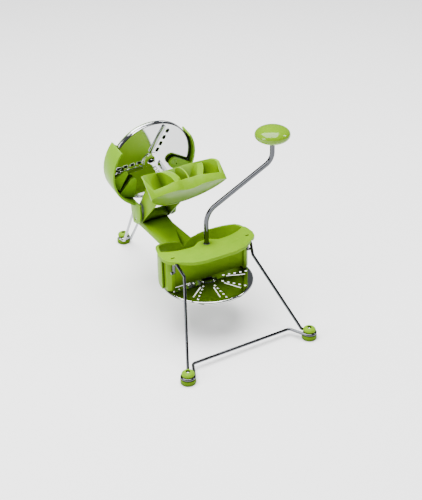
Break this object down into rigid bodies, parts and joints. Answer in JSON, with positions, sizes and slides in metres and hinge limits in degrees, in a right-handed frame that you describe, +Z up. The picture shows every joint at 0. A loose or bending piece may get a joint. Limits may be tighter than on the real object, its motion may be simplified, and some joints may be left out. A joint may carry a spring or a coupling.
{
  "type": "food mill",
  "caption": "Hand-cranked food mill on a wire stand: half-round hopper over a turning steel disc, hinged pusher and a hinged holder of spare discs.",
  "frame": {"origin": "on the floor, in the middle of the stand's footprint", "axes": "+X to the right with the crank at the front, +Y from the crank towards the rear foot, +Z up"},
  "size_m": [0.2082, 0.3918, 0.2903],
  "materials": {
    "green_plastic": "glossy lime green moulding",
    "pale_green_plastic": "glossy paler green moulding",
    "steel_wire": "bright polished",
    "steel_sheet": "mirror polished stainless sheet",
    "black_plastic": "matte black"
  },
  "bodies": {
    "stand": {"feed_hopper": "green_plastic", "support_arm": "green_plastic", "crank_bush": "black_plastic", "hinge_pin": "steel_wire", "front_leg_wire": "steel_wire", "rear_leg_wire": "steel_wire", "foot_pad_left": "green_plastic", "foot_pad_right": "green_plastic", "foot_pad_rear": "green_plastic", "foot_cap_left": "green_plastic", "foot_cap_right": "green_plastic", "foot_cap_rear": "green_plastic", "foot_screw_left": "steel_wire", "foot_screw_right": "steel_wire", "foot_screw_rear": "steel_wire"},
    "crank": {"crank_rod": "steel_wire", "crank_collar": "black_plastic", "shredding_disc": "steel_sheet", "shredding_disc_hub": "steel_sheet", "disc_lock": "green_plastic"},
    "knob": {"crank_knob": "green_plastic", "knob_liner": "black_plastic"},
    "pusher": {"food_pusher": "green_plastic"},
    "holder": {"disc_holder": "pale_green_plastic", "slicing_disc": "steel_sheet", "slicing_disc_hub": "steel_sheet", "slicing_blade_1": "steel_sheet", "slicing_blade_2": "steel_sheet", "slicing_blade_3": "steel_sheet", "grating_disc": "steel_sheet", "grating_disc_hub": "steel_sheet"}
  },
  "joints": [
    {"name": "crank_turn", "type": "hinge", "parent": "stand", "child": "crank", "pos_m": [0, -0.0769, 0], "axis": [0, 0, 1], "continuous": true},
    {"name": "knob_spin", "type": "hinge", "parent": "crank", "child": "knob", "pos_m": [0.07155, -0.12426, 0.28], "axis": [0, 0, 1], "continuous": true},
    {"name": "pusher_hinge", "type": "hinge", "parent": "stand", "child": "pusher", "pos_m": [0, 0.0766, 0.0988], "axis": [1, 0, 0], "range_deg": [0, 47.5]},
    {"name": "holder_hinge", "type": "hinge", "parent": "pusher", "child": "holder", "pos_m": [0, 0.0766, 0.0988], "axis": [1, 0, 0], "range_deg": [0, 20]}
  ]
}
